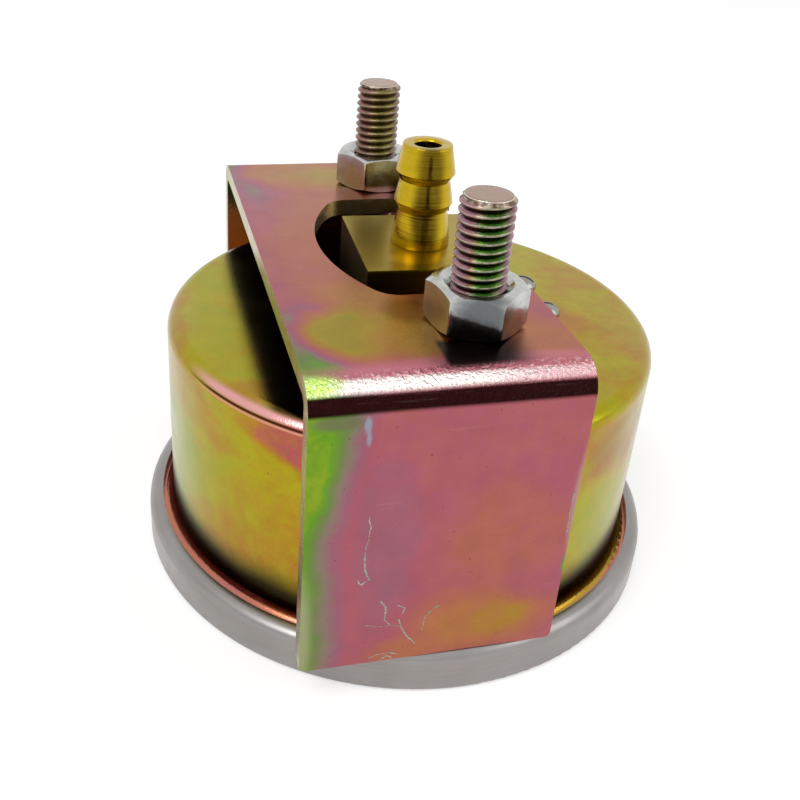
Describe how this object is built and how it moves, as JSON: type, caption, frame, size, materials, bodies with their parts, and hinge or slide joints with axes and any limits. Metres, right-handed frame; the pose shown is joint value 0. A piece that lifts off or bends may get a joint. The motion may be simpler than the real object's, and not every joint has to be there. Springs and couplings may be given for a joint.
{
  "type": "vacuum gauge",
  "caption": "Round panel vacuum gauge lying on its face: drawn can, rolled bezel, U bracket on threaded studs, brass hose barb, and a Bourdon-tube movement with pointer inside.",
  "frame": {"origin": "centre of the bezel's front face, on which the gauge lies", "axes": "+Z towards the rear along the can's axis and the studs; Y through the two studs and the bracket's legs, with the nearer leg in the picture at -Y; the bracket's notch is open towards +X"},
  "size_m": [0.0574, 0.0574, 0.0468],
  "materials": {
    "stainless": "satin rolled stainless",
    "zinc_can": "yellow passivated zinc, olive to orange",
    "zinc_bracket": "yellow passivated zinc, pink to gold",
    "zinc_stud": "yellow passivated zinc on a rolled thread",
    "bright_steel": "bright zinc",
    "glass": "clear",
    "rubber": "matt black",
    "black_ring": "matt black",
    "dial_white": "matt white with black print",
    "pointer_red": "satin orange-red",
    "brass_turned": "bright turned",
    "brass_block": "satin sawn",
    "brass_plate": "satin rolled",
    "spring_bronze": "polished bronze"
  },
  "bodies": {
    "case": {"bezel_ring": "stainless", "case_can": "zinc_can", "lens": "glass", "lens_gasket": "rubber", "spacer_ring": "black_ring", "dial_plate": "dial_white", "dial_screws": "bright_steel", "dial_posts": "brass_plate", "movement_front_plate": "brass_plate", "movement_back_plate": "brass_plate", "movement_pillars": "brass_plate", "movement_screws": "bright_steel", "frame_posts": "brass_plate", "frame_screws": "bright_steel", "hairspring_stud": "brass_plate", "hairspring": "spring_bronze", "bourdon_tube": "spring_bronze", "socket_block": "brass_block", "hose_barb": "brass_turned", "case_screws": "bright_steel", "mounting_studs": "zinc_stud"},
    "pointer_shaft": {"pinion_spindle": "bright_steel", "pointer": "pointer_red", "pointer_boss": "brass_turned", "hairspring_collet": "brass_turned"},
    "sector": {"sector_gear": "brass_plate", "sector_arbor": "bright_steel", "link_pin": "bright_steel"},
    "link": {"connecting_link": "brass_plate"},
    "tip": {"tube_tip": "brass_plate", "tip_pin": "bright_steel"},
    "bracket": {"mounting_bracket": "zinc_bracket"},
    "near_nut": {"nut_near": "bright_steel"},
    "far_nut": {"nut_far": "bright_steel"}
  },
  "joints": [
    {"name": "sector_swing", "type": "hinge", "parent": "case", "child": "sector", "pos_m": [-0.00916, 0.00572, 0.0125], "axis": [0, 0, 1], "range_deg": [-30, 0], "stiffness_Nm_per_rad": 0.0006},
    {"name": "pointer_spin", "type": "hinge", "parent": "case", "child": "pointer_shaft", "pos_m": [0, 0, 0.0125], "axis": [0, 0, 1], "range_deg": [0, 270], "deforming": ["hairspring"]},
    {"name": "link_swing", "type": "hinge", "parent": "sector", "child": "link", "pos_m": [-0.01356, 0.00707, 0.01325], "axis": [0, 0, 1], "range_deg": [0, 15]},
    {"name": "tip_flex", "type": "hinge", "parent": "case", "child": "tip", "pos_m": [-0.00542, -0.00696, 0.01325], "axis": [0, 0, 1], "range_deg": [-8.62, 0], "deforming": ["bourdon_tube"]},
    {"name": "bracket_slide", "type": "slide", "parent": "case", "child": "bracket", "axis": [0, 0, 1], "range_m": [0, 0.008]},
    {"name": "near_nut_spin", "type": "hinge", "parent": "bracket", "child": "near_nut", "pos_m": [0, -0.0184, 0.0368], "axis": [0, 0, 1], "range_deg": [0, 3600]},
    {"name": "far_nut_spin", "type": "hinge", "parent": "bracket", "child": "far_nut", "pos_m": [0, 0.0184, 0.0368], "axis": [0, 0, 1], "range_deg": [0, 3600]}
  ],
  "couplings": [
    {"joint": "pointer_spin", "follows": "sector_swing", "ratio": -9},
    {"joint": "link_swing", "follows": "sector_swing", "ratio": -0.5},
    {"joint": "tip_flex", "follows": "sector_swing", "ratio": 0.2875},
    {"joint": "near_nut_spin", "follows": "bracket_slide", "rad_per_m": 7854},
    {"joint": "far_nut_spin", "follows": "bracket_slide", "rad_per_m": 7854}
  ]
}
